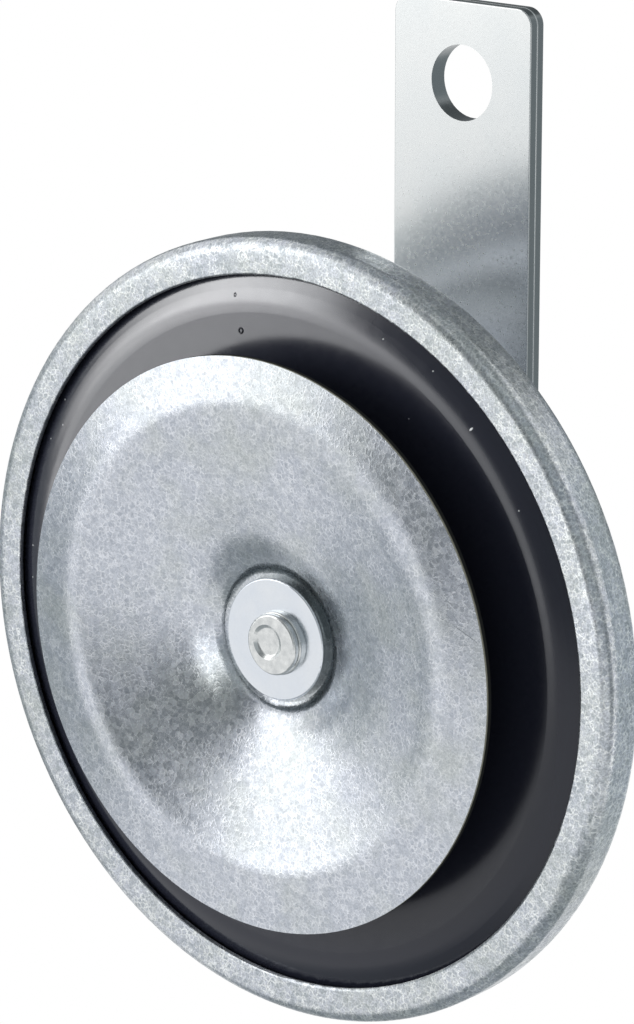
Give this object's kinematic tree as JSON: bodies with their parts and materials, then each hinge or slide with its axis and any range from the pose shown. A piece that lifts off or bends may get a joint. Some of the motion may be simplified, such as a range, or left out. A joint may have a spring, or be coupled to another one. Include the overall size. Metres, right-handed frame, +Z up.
{
  "type": "car horn",
  "caption": "Electric disc horn: clinched round casing, black diaphragm and dished tone disc in front, two-leaf strip bracket with one bolt hole above, blade terminals behind.",
  "frame": {"origin": "centre of the bracket's bolt hole, on the bracket's rear face", "axes": "+Z up along the bracket, -Y forwards out of the tone disc, along the horn's axis and the bolt hole"},
  "size_m": [0.0926, 0.0505, 0.1156],
  "materials": {
    "galvanised_rim": "spangled zinc coating, satin",
    "galvanised_disc": "spangled zinc coating, satin",
    "galvanised_housing": "spangled zinc coating, satin",
    "black_paint": "gloss black paint",
    "zinc_bracket": "bright zinc plating on smooth strip",
    "zinc_fasteners": "bright zinc plating",
    "turned_iron": "turned, lightly oiled",
    "yoke_steel": "plain drawn steel",
    "gasket_fibre": "compressed fibre and rubber",
    "bobbin_nylon": "moulded nylon",
    "copper_winding": "enamelled copper wire",
    "insulator_board": "phenolic board",
    "contact_spring_steel": "rolled spring steel",
    "contact_tungsten": "ground tungsten",
    "terminal_brass": "tinned brass strip"
  },
  "bodies": {
    "casing": {"rim_ring": "galvanised_rim", "front_gasket": "gasket_fibre", "rear_gasket": "gasket_fibre", "diaphragm": "black_paint", "pole_core": "zinc_fasteners", "yoke_cup": "yoke_steel", "coil_bobbin": "bobbin_nylon", "coil_winding": "copper_winding", "housing": "galvanised_housing", "bracket_front_leaf": "zinc_bracket", "bracket_rear_leaf": "zinc_bracket", "bracket_washer": "zinc_fasteners", "bracket_nut": "zinc_fasteners", "contact_carrier": "yoke_steel", "rear_insulator": "insulator_board", "middle_insulator": "insulator_board", "front_insulator": "insulator_board", "contact_spring": "contact_spring_steel", "fixed_contact_arm": "contact_spring_steel", "fixed_contact": "contact_tungsten", "stack_rivets": "terminal_brass", "carrier_rivet": "zinc_fasteners", "adjusting_screw": "zinc_fasteners", "lock_nut": "zinc_fasteners", "terminal_insulator": "insulator_board", "terminal_lining": "insulator_board", "terminal_blade_left": "terminal_brass", "terminal_blade_right": "terminal_brass", "terminal_rivets": "terminal_brass"},
    "striker": {"tone_disc": "galvanised_disc", "front_washer": "zinc_fasteners", "hub_spacer": "zinc_fasteners", "diaphragm_washer": "zinc_fasteners", "centre_stem": "zinc_fasteners", "armature": "turned_iron"},
    "breaker_arm": {"moving_contact_arm": "contact_spring_steel", "moving_contact": "contact_tungsten", "contact_pusher": "insulator_board"}
  },
  "joints": [
    {"name": "armature_stroke", "type": "slide", "parent": "casing", "child": "striker", "axis": [0, 1, 0], "range_m": [0, 0.0006], "stiffness_N_per_m": 10000, "deforming": ["diaphragm"]},
    {"name": "breaker_flex", "type": "hinge", "parent": "casing", "child": "breaker_arm", "pos_m": [0.0227, -0.02545, -0.0598], "axis": [0, 0, -1], "range_deg": [0, 3.2], "deforming": ["contact_spring"]}
  ],
  "couplings": [
    {"joint": "breaker_flex", "follows": "armature_stroke", "rad_per_m": 91.7}
  ]
}
